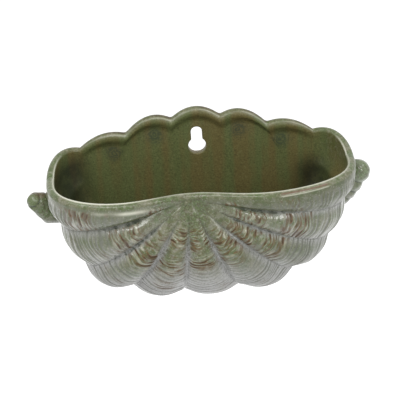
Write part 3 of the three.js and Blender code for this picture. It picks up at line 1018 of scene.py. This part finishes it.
def back_plate():
    """The back: its turn from the seam to the wall, the corners of the rim, and the flat."""
    outer_seam = seam_only(outer_normals[:, back_part], 0)
    inner_seam = seam_only(inner_normals[:, back_part], 0)[:, :-1]
    bowl = inner_turn[:, :-1]
    back = Patchwork()
    back.add(outer[:, back_part], False, outer_seam, **outer_part(back_part))
    back.add(bowl, True, inner_seam, **bowl_masks(bowl))
    for column, flip in RIM_SIDES:
        lip = lip_points(outer[column, back_part], inner_turn[column])
        back.add(lip, flip, **corner_masks(column))
        back.close(lip[0], not flip)
    back.bridge(outer[:, FRONT_ROWS], inner_turn[:, 0], False)
    add_flat(back)
    back_piece = back.build("back_plate_glazed", body_glaze)
    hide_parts("back_plate")


front_shell()
back_plate()

# The ears are pressed from balls, as the solids are
body_points, body_normals = outer.reshape(-1, 3), outer_normals.reshape(-1, 3)
body_tree = KDTree(len(body_points))
for index, point in enumerate(body_points):
    body_tree.insert(point, index)
body_tree.balance()


def pressed_in(point):
    """A point, moved out to EAR_SINK below the body's outer face where it lies deeper."""
    index = body_tree.find(point)[1]
    height = float(np.dot(point - body_points[index], body_normals[index]))
    return point - min(height + EAR_SINK, 0) * body_normals[index]


def pressed_balls(name, spots, radii):
    """Points and faces of one skin round balls that overlap."""
    lump = bmesh.new()
    for spot, radius in zip(spots, radii):
        place = Matrix.Translation(Vector(spot))
        bmesh.ops.create_icosphere(lump, subdivisions=BALL_DETAIL, radius=radius, matrix=place)
    mesh = bpy.data.meshes.new(name)
    lump.to_mesh(mesh)
    lump.free()
    balls = bpy.data.objects.new(name, mesh)
    bpy.context.scene.collection.objects.link(balls)
    skin = balls.modifiers.new("skin", "REMESH")
    skin.mode = "VOXEL"
    skin.voxel_size = EAR_VOXEL
    pressed = balls.evaluated_get(bpy.context.evaluated_depsgraph_get()).to_mesh()
    points = np.empty(3 * len(pressed.vertices))
    pressed.vertices.foreach_get("co", points)
    faces = [tuple(face.vertices) for face in pressed.polygons]
    bpy.data.objects.remove(balls)
    bpy.data.meshes.remove(mesh)
    return points.reshape(-1, 3), faces


def ear_piece(name, side, ear, gloss, worn, face_towards=None):
    """An ear: its balls pressed together and on to the body, a little way into its clay."""
    x = side * (HALF_WIDTH + np.array(ear["reaches"]))
    z = RIM_HEIGHT - np.array(ear["falls"])
    spots = np.stack([x, np.full(len(x), EAR_SETBACK - SEAM_DEPTH), z], -1)
    radii = np.array(ear["radii"])
    points, faces = pressed_balls(name, spots, radii)
    for _ in range(SETTLE_STEPS):
        from_spots = points[:, None] - spots
        away = np.linalg.norm(from_spots, axis=2)
        gaps = away - radii
        nearest = gaps.min(axis=1, keepdims=True)
        shares = np.exp((nearest - gaps) / EAR_BLEND)
        height = nearest[:, 0] - EAR_BLEND * np.log(shares.sum(axis=1))
        normals = unit(np.sum(shares[..., None] * from_spots / away[..., None], axis=1))
        points = points - normals * height[:, None]
    ball = gaps.argmin(axis=1)
    gaps = np.sort(gaps, axis=1)
    crease = bell(gaps[:, 1] - gaps[:, 0], EAR_CREASE)
    relief = EAR_LUMPS * lumps(points, length=6)
    if face_towards is not None:
        from_tip = points - spots[0]
        along_face = from_tip @ unit(np.array(face_towards))
        from_face = np.sqrt(np.maximum(np.sum(from_tip**2, axis=1) - along_face**2, 0))
        edge = bell(from_face - FACE_RADIUS, FACE_EDGE) * (along_face > 0)
        relief = relief - FACE_GROOVE * edge
        crease = np.maximum(0.4 * crease, edge)
    points = points + normals * relief[:, None]
    points = np.array([pressed_in(point) for point in points])
    masks = {
        "rib": points[:, 1] / EAR_STROKES,
        "ring": np.linalg.norm(points - spots[0], axis=1) / RING_PITCH,
        "along": np.full(len(points), EAR_ALONG),
        "crest": np.ones(len(points)),
        "below": EAR_BELOW * (1 + ball),
        "groove": 0.8 * crease,
        "gloss": np.full(len(points), gloss),
        "worn": worn * smoothstep(0.7, 0.95, normals[:, 2]),
        "green": 1 / (1 + ball),
    }
    piece = smooth_piece(name + "_glazed", points, faces, masks, body_glaze)
    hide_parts(name)


ear_piece("left_ear", -1, LEFT_EAR, 0.3, 0.55, FACE_TOWARDS)
ear_piece("right_ear", 1, RIGHT_EAR, 1, 0)

# Studio: a white room with two soft boxes in front and one high up on each side
ROOM_LIGHT = 0.6
BACKDROP_LIGHT = 1.0
LIGHT_AIM = Vector((0, -0.05, -0.05))
FLOOR_HEIGHT = -0.4
FLOOR_REACH = 6.0
scene = bpy.context.scene
scene.view_settings.view_transform = "Standard"


def shown_rays(tree):
    """1 for what the camera sees, also in a reflection or through glass, and 0 for light on the object."""
    path = tree.nodes.new("ShaderNodeLightPath")
    shown = path.outputs["Is Camera Ray"]
    for name in ("Is Glossy Ray", "Is Transmission Ray"):
        larger = tree.nodes.new("ShaderNodeMath")
        larger.operation = "MAXIMUM"
        tree.links.new(shown, larger.inputs[0])
        tree.links.new(path.outputs[name], larger.inputs[1])
        shown = larger.outputs[0]
    return shown


world = bpy.data.worlds.new("studio")
scene.world = world
world.use_nodes = True
sky = world.node_tree.nodes["Background"]
sky.inputs["Color"].default_value = (1, 1, 1, 1)
level = world.node_tree.nodes.new("ShaderNodeMapRange")
level.inputs["To Min"].default_value = ROOM_LIGHT
level.inputs["To Max"].default_value = BACKDROP_LIGHT
world.node_tree.links.new(shown_rays(world.node_tree), level.inputs["Value"])
world.node_tree.links.new(level.outputs["Result"], sky.inputs["Strength"])


def area_light(name, place, size, power):
    """A soft box that points at the planter."""
    lamp = bpy.data.lights.new(name, "AREA")
    lamp.shape = "RECTANGLE"
    lamp.size, lamp.size_y = size
    lamp.energy = power
    light = bpy.data.objects.new(name, lamp)
    light.location = place
    aim = LIGHT_AIM - light.location
    light.rotation_euler = aim.to_track_quat("-Z", "Y").to_euler()
    scene.collection.objects.link(light)


area_light("front_left_box", (-0.273, -0.751, 0.827), (0.7, 0.3), 4)
area_light("front_right_box", (0.617, -0.85, 0.468), (0.42, 0.36), 2.5)
area_light("left_box", (-0.64, -0.26, 0.83), (0.42, 0.42), 2.5)
area_light("right_box", (0.62, -0.24, 0.87), (0.42, 0.42), 1.5)


def floor_white():
    """White for the camera and in reflections, and under the lamps a pale floor that takes the shadow."""
    graph = Graph("floor_white")
    graph.shader.inputs["Base Color"].default_value = (0.85, 0.85, 0.85, 1)
    graph.shader.inputs["Roughness"].default_value = 0.9
    graph.shader.inputs["Emission Color"].default_value = (1, 1, 1, 1)
    graph.feed(graph.shader.inputs["Emission Strength"], graph.times(shown_rays(graph.tree), 0.5))
    return graph.material


floor_mesh = bpy.data.meshes.new("floor")
turns = ((-1, -1), (1, -1), (1, 1), (-1, 1))
floor_corners = [(x * FLOOR_REACH, y * FLOOR_REACH, FLOOR_HEIGHT) for x, y in turns]
floor_mesh.from_pydata(floor_corners, [], [(0, 1, 2, 3)])
floor_mesh.materials.append(floor_white())
floor = bpy.data.objects.new("floor", floor_mesh)
scene.collection.objects.link(floor)

# Camera at the photograph's place: looking down at 28 degrees, a little from the left; turns in degrees
CAMERA_PLACE = (-0.03978, -0.99517, 0.46611)
CAMERA_TURNS = (61.853, 3.252, -4.004)
camera_data = bpy.data.cameras.new("camera")
camera_data.sensor_width = 36
camera_data.lens = 121.62
camera_data.clip_end = 50
camera = bpy.data.objects.new("camera", camera_data)
turned = Euler([math.radians(turn) for turn in CAMERA_TURNS]).to_matrix().to_4x4()
camera.matrix_world = Matrix.Translation(CAMERA_PLACE) @ turned
scene.collection.objects.link(camera)
scene.camera = camera
